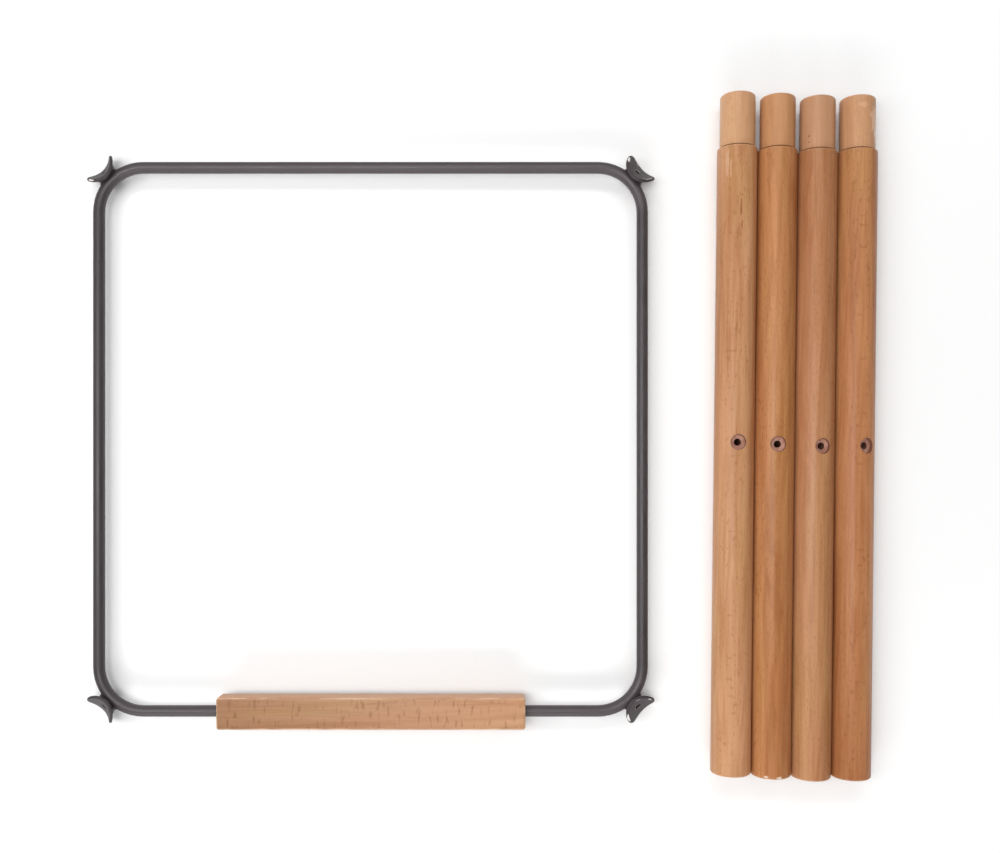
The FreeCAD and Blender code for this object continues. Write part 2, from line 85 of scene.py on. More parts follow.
class Shader:
    """A material's node tree, with short calls to add nodes."""

    def __init__(self, name):
        self.material = bpy.data.materials.new(name)
        self.material.use_nodes = True
        self.tree = self.material.node_tree
        self.surface = self.tree.nodes["Principled BSDF"]

    def put(self, socket, value):
        """Link a socket, or set its own value."""
        if isinstance(value, bpy.types.NodeSocket):
            self.tree.links.new(value, socket)
        else:
            socket.default_value = value

    def add(self, kind, inputs=None, **settings):
        """A new node with its settings and inputs."""
        node = self.tree.nodes.new(kind)
        for key, value in settings.items():
            setattr(node, key, value)
        for key, value in (inputs or {}).items():
            self.put(node.inputs[key], value)
        return node

    def math(self, operation, a, b=0.0, c=0.0, clamp=False):
        """A Math node's result."""
        node = self.add("ShaderNodeMath", {0: a, 1: b, 2: c}, operation=operation)
        node.use_clamp = clamp
        return node.outputs[0]

    def times(self, a, b):
        """The product of two values."""
        return self.math("MULTIPLY", a, b)

    def hypot(self, a, b):
        """The length of the flat vector (a, b)."""
        return self.math("SQRT", self.math("ADD", self.times(a, a), self.times(b, b)))

    def ramp(self, value, low, high, to_low=0.0, to_high=1.0, smooth=True):
        """value from low..high to to_low..to_high, clamped."""
        node = self.add("ShaderNodeMapRange", {"Value": value, "From Min": low, "From Max": high})
        node.interpolation_type = "SMOOTHSTEP" if smooth else "LINEAR"
        self.put(node.inputs["To Min"], to_low)
        self.put(node.inputs["To Max"], to_high)
        return node.outputs["Result"]

    def mix(self, factor, a, b, blend="MIX"):
        """The colour between a and b, or a with b blended on it."""
        node = self.add("ShaderNodeMix", data_type="RGBA", blend_type=blend)
        self.put(node.inputs["Factor"], factor)
        self.put(node.inputs["A"], a)
        self.put(node.inputs["B"], b)
        return node.outputs["Result"]

    def own(self, attribute=None):
        """The piece's own coordinates: its object's, or those stored when it was built."""
        if attribute:
            return self.add("ShaderNodeAttribute", attribute_name=attribute).outputs["Vector"]
        return self.add("ShaderNodeTexCoord").outputs["Object"]

    def place(self, turn=(0, 0, 0), scale=(1, 1, 1), shift=(0, 0, 0), of=None):
        """Coordinates, scaled, turned and shifted."""
        node = self.add("ShaderNodeMapping", {"Vector": of or self.own()})
        node.inputs["Rotation"].default_value = turn
        node.inputs["Scale"].default_value = scale
        node.inputs["Location"].default_value = shift
        return node.outputs["Vector"]

    def axes(self, vector):
        """The X, Y and Z of a vector."""
        return self.add("ShaderNodeSeparateXYZ", {"Vector": vector}).outputs

    def noise(self, vector, scale, detail=2.0, rough=0.5, distortion=0.0):
        """Noise from 0 to 1."""
        inputs = {"Vector": vector, "Scale": scale, "Detail": detail, "Roughness": rough}
        inputs["Distortion"] = distortion
        return self.add("ShaderNodeTexNoise", inputs).outputs["Fac"]

    def bump(self, height, distance, strength=1.0):
        """A bump normal."""
        inputs = {"Height": height, "Distance": distance, "Strength": strength}
        return self.add("ShaderNodeBump", inputs).outputs["Normal"]

    def finish(self, colour, roughness, normal, **constants):
        """Connect the surface.  constants are the shader's own fixed values."""
        self.put(self.surface.inputs["Base Color"], colour)
        self.put(self.surface.inputs["Roughness"], roughness)
        self.put(self.surface.inputs["Normal"], normal)
        for key, value in constants.items():
            self.surface.inputs[key.replace("_", " ")].default_value = value
        return self.material


def rgb(red, green, blue):
    """A linear colour from 0..255 sRGB values."""
    def linear(value):
        value /= 255
        return value / 12.92 if value <= 0.04045 else ((value + 0.055) / 1.055) ** 2.4
    return (linear(red), linear(green), linear(blue), 1.0)


def scaled(colour, factor):
    """A colour made darker or lighter."""
    return tuple(min(1.0, factor * value) for value in colour[:3]) + (1.0,)


# --- materials ---------------------------------------------------------------------------------------

def beech(name, light, dark, seed, turn, rays=(60, 1300, 190), along=None, fleck=1.0):
    """Varnished beech.  Grain space has Z along the grain, X to the pith and Y round the rings.

    turn spins the grain about its length, in degrees.  along turns the piece's length to Z, unless
    the piece was built with its own coordinates that way.  rays is the scale of the rays' pattern,
    and fleck how plainly they show.  Gives the shader, colour, roughness, normal and coordinates.
    """
    s = Shader(name)
    own = s.place(turn=along) if along else s.own("own")
    grain = s.place(turn=(0, 0, math.radians(turn)), shift=(0, 0, seed * 1.7), of=own)

    # growth rings round a pith outside the piece, a little tilted so that they run out on the faces
    drift = s.noise(s.place(scale=(9, 9, 1.6), shift=(seed, 0, 0), of=grain), 1.0, 2.0)
    tilt = (0.012, 0.02 + 0.004 * seed, 0)
    pith = (0.052 + 0.006 * seed, 0.01, 0)
    from_pith = s.axes(s.place(turn=tilt, shift=pith, of=grain))
    across = s.math("MULTIPLY_ADD", drift, 30 * MM, from_pith[0])
    waver = s.noise(s.place(scale=(60, 60, 3), of=grain), 1.0, 3.0)
    radius = s.math("MULTIPLY_ADD", waver, 2.2 * MM, s.hypot(across, from_pith[1]))
    ring_width = 3.4 * MM
    ring = s.math("FRACT", s.math("DIVIDE", radius, ring_width))
    late = s.times(s.ramp(ring, 0.35, 0.93), s.ramp(ring, 1.0, 0.955))
    broken = s.noise(s.place(scale=(110, 110, 10), of=grain), 1.0, 2.0)
    late = s.times(late, s.ramp(broken, 0.36, 0.66))

    # broad bands, wandering figure and fine streaks along the grain, and slow changes of hue
    wide = s.place(scale=(34, 34, 1.5), shift=(0, seed, 0), of=grain)
    band = s.noise(wide, 1.0, 3.0, 0.55, 0.6)
    wandering = s.place(scale=(75, 75, 6), shift=(seed, 0, 0), of=grain)
    figure = s.noise(wandering, 1.0, 3.0, 0.55, 2.4)
    streak = s.noise(s.place(scale=(420, 420, 9), of=grain), 1.0, 4.0, 0.65, 0.5)
    fine = s.noise(s.place(scale=(1500, 1500, 26), of=grain), 1.0, 2.0, 0.6)
    slow = s.place(scale=(22, 22, 3.5), shift=(0, 0, 3 * seed), of=grain)
    hue = s.noise(slow, 1.0, 2.0, 0.5, 0.8)

    # rays: thin plates that lie towards the pith, seen as dashes on one face and flecks on the other
    plates = s.noise(s.place(scale=rays, of=grain), 1.0, 1.0, 0.4)
    patch = s.noise(s.place(scale=(60, 60, 14), of=grain), 1.0, 2.0)
    ray = s.times(s.ramp(plates, 0.57, 0.70), s.ramp(patch, 0.30, 0.62, 0.25, 1.0))
    pores = s.noise(s.place(scale=(2600, 2600, 240), of=grain), 1.0, 1.0, 0.4)
    pore = s.ramp(pores, 0.60, 0.74)

    shade = s.math("MULTIPLY_ADD", late, 0.12, s.ramp(band, 0.30, 0.72, 0.0, 0.66))
    shade = s.math("MULTIPLY_ADD", s.ramp(figure, 0.38, 0.64), 0.26, shade)
    shade = s.math("MULTIPLY_ADD", streak, 0.42, shade)
    shade = s.math("MULTIPLY_ADD", fine, 0.22, shade)
    colour = s.mix(s.math("SUBTRACT", shade, 0.33, clamp=True), light, dark)
    pinker, yellower = (1.01, 0.95, 0.95, 1.0), (0.99, 1.03, 0.92, 1.0)
    colour = s.mix(s.ramp(hue, 0.42, 0.66), colour, pinker, blend="MULTIPLY")
    colour = s.mix(s.ramp(hue, 0.46, 0.30), colour, yellower, blend="MULTIPLY")
    brown = (0.60 * dark[0], 0.48 * dark[1], 0.38 * dark[2], 1.0)
    colour = s.mix(s.math("MULTIPLY", ray, 0.30 * fleck, clamp=True), colour, brown)
    colour = s.mix(s.math("MULTIPLY", pore, 0.22, clamp=True), colour, brown)

    height = s.math("MULTIPLY_ADD", pore, -0.6, s.times(fine, 0.5))
    height = s.math("MULTIPLY_ADD", ray, -0.3, height)
    normal = s.bump(height, 0.06 * MM, 0.55)
    rough = s.math("MULTIPLY_ADD", streak, 0.16, s.math("MULTIPLY_ADD", pore, 0.12, 0.30))
    return s, colour, rough, normal, own


def mark(s, own, seed, x, z, half_x, half_z):
    """A ragged spot on the upper side of a leg, from 0 to 1."""
    place = s.axes(own)
    off_x = s.math("DIVIDE", s.math("SUBTRACT", place[0], x), half_x)
    off_z = s.math("DIVIDE", s.math("SUBTRACT", place[2], z), half_z)
    ragged = s.noise(s.place(scale=(500, 500, 140), shift=(seed, 0, 0), of=own), 1.0, 3.0, 0.7)
    ragged = s.math("SUBTRACT", ragged, 0.5)
    away = s.math("MULTIPLY_ADD", ragged, 2.2, s.hypot(off_x, off_z))
    return s.times(s.ramp(away, 1.0, 0.75), s.ramp(place[1], 0.0, -3 * MM))


def leg_material(name, light, dark, raw, seed, turn, marks):
    """A leg's beech, with raw wood in the bolt's seat, end grain, worn edges and its own marks."""
    s, colour, rough, normal, own = beech(name, light, dark, seed, turn)
    x, y, z = s.axes(own)
    radius = s.hypot(x, y)

    # the tenon took less stain
    on_tenon = s.ramp(z, SHOULDER - 0.5 * MM, SHOULDER + 0.3 * MM)
    colour = s.mix(on_tenon, colour, s.mix(0.36, colour, raw))

    # end grain: darker, with fine pores and saw marks
    at_foot = s.ramp(z, 0.5 * MM, 0.1 * MM)
    at_tip = s.ramp(z, LEG_LENGTH - 0.5 * MM, LEG_LENGTH - 0.1 * MM)
    ends = s.math("MAXIMUM", at_foot, at_tip)
    cells = s.noise(s.place(scale=(2400, 2400, 600), of=own), 1.0, 2.0, 0.6)
    sawn = s.noise(s.place(turn=(0, 0, seed), scale=(30, 900, 30), of=own), 1.0, 2.0, 0.6)
    sawn = s.ramp(sawn, 0.35, 0.7, 0.12, 0.34)
    grain = s.math("MULTIPLY_ADD", s.ramp(cells, 0.42, 0.68), 0.4, sawn)
    colour = s.mix(s.times(ends, grain), colour, scaled(dark, 0.62))

    # worn and rounded edges at both ends and on the shoulder
    scuff = s.place(scale=(130, 130, 90), shift=(seed, seed, 0), of=own)
    scuff = s.noise(scuff, 1.0, 4.0, 0.7)
    tip = s.ramp(z, LEG_LENGTH - 2.6 * MM, LEG_LENGTH - 0.6 * MM)
    tip = s.times(tip, s.ramp(radius, TENON_RADIUS - 3.4 * MM, TENON_RADIUS - 2.0 * MM))
    foot = s.ramp(z, 2.4 * MM, 0.5 * MM)
    foot = s.times(foot, s.ramp(radius, LEG_RADIUS - 3.8 * MM, LEG_RADIUS - 2.2 * MM))
    lip = s.ramp(z, SHOULDER - 1.6 * MM, SHOULDER - 0.7 * MM)
    lip = s.times(lip, s.ramp(radius, LEG_RADIUS - 1.8 * MM, LEG_RADIUS - 1.2 * MM))
    edge = s.math("MAXIMUM", s.math("MAXIMUM", tip, foot), lip)
    worn = s.times(edge, s.ramp(scuff, 0.46, 0.66, 0.06, 0.6))
    colour = s.mix(worn, colour, scaled(raw, 1.18))

    for x_at, z_at, half_x, half_z, tint, strength in marks:
        spot = mark(s, own, seed + z_at, x_at * MM, z_at * MM, half_x * MM, half_z * MM)
        colour = s.mix(s.times(spot, strength), colour, tint)

    # painted shade: the seam where the tenon meets the shoulder is darkened
    seam_shade = s.ramp(z, SHOULDER + 2.0 * MM, SHOULDER + 1.1 * MM)
    seam_shade = s.times(seam_shade, s.ramp(z, SHOULDER - 0.3 * MM, SHOULDER))
    seam_shade = s.times(seam_shade, s.ramp(radius, TENON_RADIUS + 1.1 * MM, TENON_RADIUS + 0.4 * MM))
    colour = s.mix(s.times(seam_shade, 0.8), colour, scaled(dark, 0.28))

    # inside the bolt's hole and seat: raw and rougher, with painted shade on the seat's wall and in
    # the bore
    spot = s.hypot(x, s.math("SUBTRACT", z, BOLT_HEIGHT))
    inside = s.ramp(spot, SEAT_RADIUS + 0.25 * MM, SEAT_RADIUS - 0.05 * MM)
    inside = s.times(inside, s.ramp(radius, LEG_RADIUS - 0.15 * MM, LEG_RADIUS - 0.6 * MM))
    inside = s.times(inside, s.ramp(y, 0.0, -1 * MM))
    cutter_step = 1.3 * MM
    turns = s.math("SINE", s.times(spot, 2 * math.pi / cutter_step))
    seat = s.mix(s.ramp(scuff, 0.35, 0.65), rgb(200, 152, 132), rgb(162, 112, 94))
    seat = s.mix(s.ramp(turns, 0.2, 1.0, 0.0, 0.35), seat, rgb(112, 70, 54))
    # painted shade where the seat meets its wall
    wall_shade = s.ramp(spot, SEAT_RADIUS - 0.5 * MM, SEAT_RADIUS - 0.1 * MM)
    seat = s.mix(s.times(wall_shade, 0.75), seat, rgb(92, 56, 42))
    colour = s.mix(inside, colour, seat)
    # painted shade down the bore
    bore_shade = s.ramp(spot, BOLT_RADIUS + 0.25 * MM, BOLT_RADIUS - 0.02 * MM)
    bore_shade = s.times(bore_shade, s.ramp(radius, LEG_RADIUS - 0.5 * MM, LEG_RADIUS - 1.5 * MM))
    colour = s.mix(s.times(bore_shade, 0.85), colour, rgb(70, 42, 28))

    rough = s.math("MAXIMUM", rough, s.times(s.math("MAXIMUM", worn, inside), 0.62))
    varnish = {"Coat_Weight": 0.09, "Coat_Roughness": 0.24, "Specular_IOR_Level": 0.17}
    return s.finish(colour, rough, normal, **varnish)


def paint(name, base, seed=0.0, gloss=(0.34, 0.46), wear_and_glint=None, light_painted_beyond=None):
    """Satin dark paint on steel, a little orange-peeled.

    gloss is the least and most roughness.  The next is a 0..1 attribute where the paint is rubbed
    bare, with painted glints on it.  The last is the distance from the middle, to the front or the
    rear, beyond which the paint is made greyer as painted light.
    """
    s = Shader(name)
    own = s.place(shift=(seed, 0, 0), of=s.own("own" if wear_and_glint else None))
    peel = s.noise(own, 900, 2.0, 0.5)
    cloud = s.noise(own, 38, 3.0, 0.55)
    speck = s.noise(own, 2600, 1.0, 0.5)
    colour = s.mix(s.ramp(cloud, 0.3, 0.7), base, scaled(base, 1.35))
    dull_and_shade = scaled(base, 0.72)
    colour = s.mix(s.ramp(speck, 0.62, 0.78, 0.0, 0.5), colour, dull_and_shade)
    # painted light on the front and rear rails, and painted shade on the left rail
    if light_painted_beyond:
        place = s.axes(own)
        off = s.math("ABSOLUTE", s.math("MULTIPLY_ADD", cloud, 20 * MM, place[1]))
        painted_rail_light = s.ramp(off, light_painted_beyond - 15 * MM, light_painted_beyond + 15 * MM, 0.0, 0.85)
        colour = s.mix(painted_rail_light, colour, scaled(base, 1.75))
        # painted shade: the left rail is made the darkest
        colour = s.mix(s.ramp(place[0], -340 * MM, -385 * MM, 0.0, 0.6), colour, dull_and_shade)
    rough = s.ramp(cloud, 0.3, 0.7, *gloss)
    rough = s.math("MULTIPLY_ADD", speck, 0.08, rough)
    height = s.math("MULTIPLY_ADD", speck, 0.25, peel)
    metal = 0.0
    if wear_and_glint:
        mask = s.add("ShaderNodeAttribute", attribute_name=wear_and_glint).outputs["Fac"]
        scratch = s.noise(own, 420, 4.0, 0.7)
        worn = s.math("MULTIPLY_ADD", scratch, 0.8, mask)
        touched = s.ramp(mask, 0.0, 0.08)
        # the chips' edges show a brown undercoat, and their middles the metal, made near-white as a
        # painted glint
        under = s.times(s.ramp(worn, 0.44, 0.52), touched)
        colour = s.mix(s.times(under, 0.8), colour, rgb(150, 118, 92))
        bare_and_glint = s.times(s.ramp(worn, 0.54, 0.62), touched)
        metal = s.times(bare_and_glint, 0.3)
        colour = s.mix(bare_and_glint, colour, rgb(240, 238, 236))
        rough = s.math("MULTIPLY_ADD", bare_and_glint, -0.08, rough)
        height = s.math("MULTIPLY_ADD", bare_and_glint, -1.2, height)
    normal = s.bump(height, 0.05 * MM, 0.6)
    s.put(s.surface.inputs["Metallic"], metal)
    return s.finish(colour, rough, normal, Specular_IOR_Level=0.5)


def screw_material():
    """Zinc-plated steel with turning marks and dull patches."""
    s = Shader("screw_zinc")
    patch = s.noise(s.place(), 700, 3.0)
    turning = s.noise(s.place(scale=(1, 1, 9)), 1400, 2.0)
    colour = s.mix(s.ramp(patch, 0.35, 0.7), rgb(196, 192, 184), rgb(128, 124, 118))
    normal = s.bump(turning, 0.04 * MM, 0.5)
    return s.finish(colour, s.ramp(patch, 0.3, 0.7, 0.28, 0.5), normal, Metallic=1.0)


# --- mesh helpers ------------------------------------------------------------------------------------

def arc(centre, radius, start, end, steps):
    """Points of an arc, degrees."""
    points = []
    for step in range(steps + 1):
        angle = math.radians(start + (end - start) * step / steps)
        x, y = centre[0] + radius * math.cos(angle), centre[1] + radius * math.sin(angle)
        points.append((x, y))
    return points


def lathe(name, profile, segments):
    """A closed solid of revolution about local Z.

    profile is (radius, z) from one end to the other, and starts and ends on the axis.
    """
    mesh = bpy.data.meshes.new(name)
    bm = bmesh.new()
    first = bm.verts.new((0, 0, profile[0][1]))
    last = bm.verts.new((0, 0, profile[-1][1]))
    rings = []
    for radius, z in profile[1:-1]:
        ring = []
        for index in range(segments):
            angle = 2 * math.pi * index / segments
            ring.append(bm.verts.new((radius * math.cos(angle), radius * math.sin(angle), z)))
        rings.append(ring)
    for index in range(segments):
        after = (index + 1) % segments
        bm.faces.new((first, rings[0][after], rings[0][index]))
        bm.faces.new((last, rings[-1][index], rings[-1][after]))
        for low, high in zip(rings, rings[1:]):
            bm.faces.new((low[index], low[after], high[after], high[index]))
    bmesh.ops.recalc_face_normals(bm, faces=bm.faces)
    bm.to_mesh(mesh)
    bm.free()
    piece = bpy.data.objects.new(name, mesh)
    bpy.context.scene.collection.objects.link(piece)
    return piece


def smooth(piece, degrees=32):
    """Smooth shading, with edges sharper than the angle kept."""
    mesh = piece.data
    mesh.polygons.foreach_set("use_smooth", [True] * len(mesh.polygons))
    bm = bmesh.new()
    bm.from_mesh(mesh)
    limit = math.radians(degrees)
    for edge in bm.edges:
        edge.smooth = len(edge.link_faces) == 2 and edge.calc_face_angle(0) < limit
    bm.to_mesh(mesh)
    bm.free()


def apply_modifiers(piece):
    """Make the modifiers' result the piece's own mesh."""
    graph = bpy.context.evaluated_depsgraph_get()
    mesh = bpy.data.meshes.new_from_object(piece.evaluated_get(graph))
    piece.modifiers.clear()
    piece.data = mesh


def settle(piece, matrix):
    """Keep the piece's own coordinates for its material, then move its mesh to its place."""
    own = piece.data.attributes.new("own", "FLOAT_VECTOR", "POINT")
    coordinates = [value for vertex in piece.data.vertices for value in vertex.co]
    own.data.foreach_set("vector", coordinates)
    piece.data.transform(matrix)


def ready(piece, material, body, slot, *nodes):
    """Give a finished piece its material and body, and hide the nodes that it stands for.  slot is not
    used.
    """
    piece.data.materials.clear()
    piece.data.materials.append(material)
    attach(piece, body)
    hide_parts(*nodes)


# --- legs --------------------------------------------------------------------------------------------

def leg_matrix(node, turn):
    """The leg's own frame: +Z from foot to tenon, -Y to the bolt's seat."""
    low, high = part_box(node)
    middle = (Vector(low) + Vector(high)) / 2
    # the thinner tenon leaves the box's middle beside the leg's
    middle += Vector((TENON_LENGTH, LEG_RADIUS - TENON_RADIUS, 0)) * math.sin(LEAN) / 2
    lean = Matrix.Rotation(-LEAN, 4, "Z")
    roll = Matrix.Rotation(math.radians(turn), 4, "Y")
    lay = Matrix.Rotation(-math.pi / 2, 4, "X")
    from_foot = Matrix.Translation((0, 0, -LEG_LENGTH / 2))
    return Matrix.Translation(middle) @ (lean @ roll @ lay) @ from_foot


def leg_profile():
    """The leg's outline, (radius, z), from the foot's middle to the tip's."""
    relief = TENON_RADIUS - 0.45 * MM
    stations, tenon_stations = 60, 7
    profile = [(0, 0), (LEG_RADIUS * 0.5, 0)]
    profile += arc((LEG_RADIUS - FOOT_ROUND, FOOT_ROUND), FOOT_ROUND, -90, 0, 8)
    straight = SHOULDER - FOOT_ROUND - LIP_ROUND
    for step in range(1, stations):
        profile.append((LEG_RADIUS, FOOT_ROUND + straight * step / stations))
    profile += arc((LEG_RADIUS - LIP_ROUND, SHOULDER - LIP_ROUND), LIP_ROUND, 0, 90, 5)
    profile += [(relief, SHOULDER), (relief, SHOULDER + 1.0 * MM)]
    profile.append((TENON_RADIUS, SHOULDER + 1.5 * MM))
    for step in range(1, tenon_stations):
        run = (TENON_LENGTH - TIP_ROUND) * step / tenon_stations
        profile.append((TENON_RADIUS, SHOULDER + run))
    profile += arc((TENON_RADIUS - TIP_ROUND, LEG_LENGTH - TIP_ROUND), TIP_ROUND, 0, 90, 8)
    profile += [(TENON_RADIUS * 0.5, LEG_LENGTH), (0, LEG_LENGTH)]
    return profile


def turned_leg(node, turn, material):
    """A turned leg with eased edges and a counterbored bolt hole."""
    piece = lathe(f"{node}_turned", leg_profile(), 128)

    below, above = -LEG_RADIUS - 5 * MM, LEG_RADIUS + 2 * MM
    seat = LEG_RADIUS - SEAT_DEPTH
    hole = [(0, below), (BOLT_RADIUS, below), (BOLT_RADIUS, seat - SEAT_RIM)]
    hole += [(BOLT_RADIUS + SEAT_RIM, seat), (SEAT_RADIUS, seat), (SEAT_RADIUS, above), (0, above)]
    cutter = lathe("bolt_cutter", hole, 64)
    lay = Matrix.Rotation(math.pi / 2, 4, "X")
    cutter.matrix_world = Matrix.Translation((0, 0, BOLT_HEIGHT)) @ lay
    cut = piece.modifiers.new("bolt_hole", "BOOLEAN")
    cut.object = cutter
    cut.operation = "DIFFERENCE"
    cut.solver = "EXACT"
    bpy.context.view_layer.update()
    apply_modifiers(piece)
    bpy.data.objects.remove(cutter)
    smooth(piece)
    settle(piece, leg_matrix(node, turn))
    ready(piece, material, node, "beech_leg", node)


CHALK = rgb(236, 220, 204)
PALE = rgb(226, 186, 158)
STAIN = rgb(128, 62, 40)
LEG_MARKS = [
    # for each leg: x, height, half-width, half-length (mm), colour, strength
    [(0, 566, 1.1, 9, STAIN, 0.6), (1, 549, 0.8, 5, STAIN, 0.6), (1, 578, 0.8, 1.2, STAIN, 0.6),
     (-13, 612, 1.6, 15, PALE, 0.35), (-10, 604, 0.9, 11, PALE, 0.3)],
    [(-8, 2.5, 2.2, 1.4, CHALK, 0.6), (4.5, 2.0, 2.8, 1.4, CHALK, 0.7)],
    [(-14, 642, 0.7, 1.6, STAIN, 0.5), (-14, 636, 0.6, 1.2, STAIN, 0.5)],
    [(6.5, 658, 5.2, 14, PALE, 0.6), (9.5, 644, 2.2, 7, CHALK, 0.6), (-6, 672, 4, 3, PALE, 0.3)],
]
LEG_TINTS = [
    # light, dark, raw, seed, grain turn
    (rgb(203, 154, 114), rgb(164, 108, 66), rgb(216, 173, 134), 1.0, 20),
    (rgb(190, 134, 88), rgb(146, 86, 44), rgb(206, 159, 118), 2.3, 75),
    (rgb(190, 140, 101), rgb(156, 102, 63), rgb(214, 170, 136), 3.1, 130),
    (rgb(190, 135, 91), rgb(146, 87, 48), rgb(220, 175, 140), 4.6, 200),
]
for node, turn, tints, marks in zip(LEGS, LEG_TURNS, LEG_TINTS, LEG_MARKS):
    turned_leg(node, turn, leg_material(f"{node}_beech", *tints, marks))


# --- footrest ----------------------------------------------------------------------------------------

def footrest_material():
    """The footrest's beech: its tread shows the rays as short crosswise flecks."""
    light, dark = rgb(199, 155, 118), rgb(168, 121, 84)
    lengthwise = (0, math.radians(-90), 0)
    strokes = (80, 1500, 300)
    s, colour, rough, normal, own = beech(
        "footrest_beech", light, dark, 5.2, 90, rays=strokes, along=lengthwise, fleck=1.5)
    # the board's left end is darker, and the side towards the ring's middle is made paler as painted
    # light
    low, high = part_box("footrest")
    shade = s.ramp(s.axes(own)[2], high[0], low[0], smooth=False)
    colour = s.mix(shade, colour, (0.60, 0.54, 0.50, 1.0), blend="MULTIPLY")
    facing = s.axes(s.add("ShaderNodeTexCoord").outputs["Normal"])
    # the edges are where the surface faces no one axis
    most = s.math("ABSOLUTE", facing[0])
    for axis in facing[1:]:
        most = s.math("MAXIMUM", most, s.math("ABSOLUTE", axis))
    # painted light: the side facing the ring's middle is made paler
    colour = s.mix(s.ramp(facing[1], 0.4, 0.9, 0.0, 0.7), colour, rgb(206, 148, 106))
    # worn along the edges, and lighter there as a painted edge highlight
    scuff = s.noise(s.place(scale=(160, 160, 40), of=own), 1.0, 4.0, 0.6)
    worn = s.times(s.ramp(most, 0.985, 0.80), s.ramp(scuff, 0.40, 0.62, 0.15, 0.8))
    colour = s.mix(worn, colour, rgb(226, 190, 158))
    varnish = {"Coat_Weight": 0.08, "Coat_Roughness": 0.3, "Specular_IOR_Level": 0.25}
    return s.finish(colour, rough, normal, **varnish)


# --- ring and corner fittings ------------------------------------------------------------------------

def corner_frame(corner, turn):
    """The corner's frame: rod's centre at the origin, leg along +Z, bolt along +X."""
    low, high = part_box("ring_rod")
    inset = ROD_RADIUS + RING_BEND * (1 - math.sqrt(0.5))
    x = high[0] - inset if "right" in corner else low[0] + inset
    y = high[1] - inset if "rear" in corner else low[1] + inset
    spin = Matrix.Rotation(math.radians(turn), 4, "Z") @ Matrix.Rotation(-SPLAY, 4, "Y")
    return Matrix.Translation((x, y, (low[2] + high[2]) / 2)) @ spin


def plate_profile():
    """The plate's closed section: (distance from the hole's axis, offset from mid-thickness)."""
    half = PLATE_THICKNESS / 2
    centre = (PLATE_RADIUS - PLATE_EASE, half - PLATE_EASE)
    start, steps = BOLT_RADIUS + HOLE_LIP, 40
    face = [start + (centre[0] - start) * (step / steps) for step in range(steps)]
    outline = [(distance, half) for distance in face]
    outline += arc(centre, PLATE_EASE, 90, 0, 7)
    outline += arc((centre[0], -centre[1]), PLATE_EASE, 0, -90, 7)
    outline += [(distance, -half) for distance in reversed(face)]
    outline += [(BOLT_RADIUS, -half + HOLE_LIP), (BOLT_RADIUS, half - HOLE_LIP)]
    return outline


# where the paint is rubbed off near the rim, with painted glints and highlight lines among the spots:
# angle round the plate (0 is up the leg, 90 its left side), half-length, place across the rim (towards
# the hollow), half-width, how far it has worn
WEAR_AND_GLINTS = {
    "rear_left": [(56, 5.0 * MM, 0.6 * MM, 1.0 * MM, 1.0)],
    "rear_right": [
        (63, 4.5 * MM, 1.5 * MM, 2.2 * MM, 1.0),
        (297, 7.5 * MM, 1.9 * MM, 0.6 * MM, 1.0),
        (312, 5.0 * MM, 4.2 * MM, 0.5 * MM, 0.6),
        (128, 9.0 * MM, 2.6 * MM, 0.8 * MM, 0.24),
        (150, 6.0 * MM, 4.4 * MM, 0.8 * MM, 0.24),
    ],
    "front_right": [
        (299, 6.5 * MM, 0.9 * MM, 1.5 * MM, 1.0),
        (68, 3.5 * MM, 1.9 * MM, 0.9 * MM, 1.0),
        (20, 4.0 * MM, 2.8 * MM, 0.45 * MM, 0.8),
    ],
    "front_left": [],
}
# the same on the edge of the bolt's hole, partly a painted glint: the angle where it is most worn, and
# how far
HOLE_WEAR_AND_GLINT = {"rear_right": (150, 0.34), "front_right": (250, 0.24)}


def wear_and_glint_at(corner, angle, distance, across_rim):
    """How worn a place is, with its painted glints, from 0 to 1 in the middle of a worn spot."""
    most = 0.0
    for spot, half_length, place, half_width, depth in WEAR_AND_GLINTS[corner]:
        turned = (math.degrees(angle) - spot + 180) % 360 - 180
        apart = math.radians(turned) * PLATE_RADIUS
        off = math.hypot(apart / half_length, (across_rim - place) / half_width)
        most = max(most, depth * (1 - off))
    if corner in HOLE_WEAR_AND_GLINT and BOLT_RADIUS < distance < BOLT_RADIUS + 0.5 * MM:
        spot, depth = HOLE_WEAR_AND_GLINT[corner]
        most = max(most, depth * (0.45 + 0.55 * math.cos(angle - math.radians(spot))))
    return most


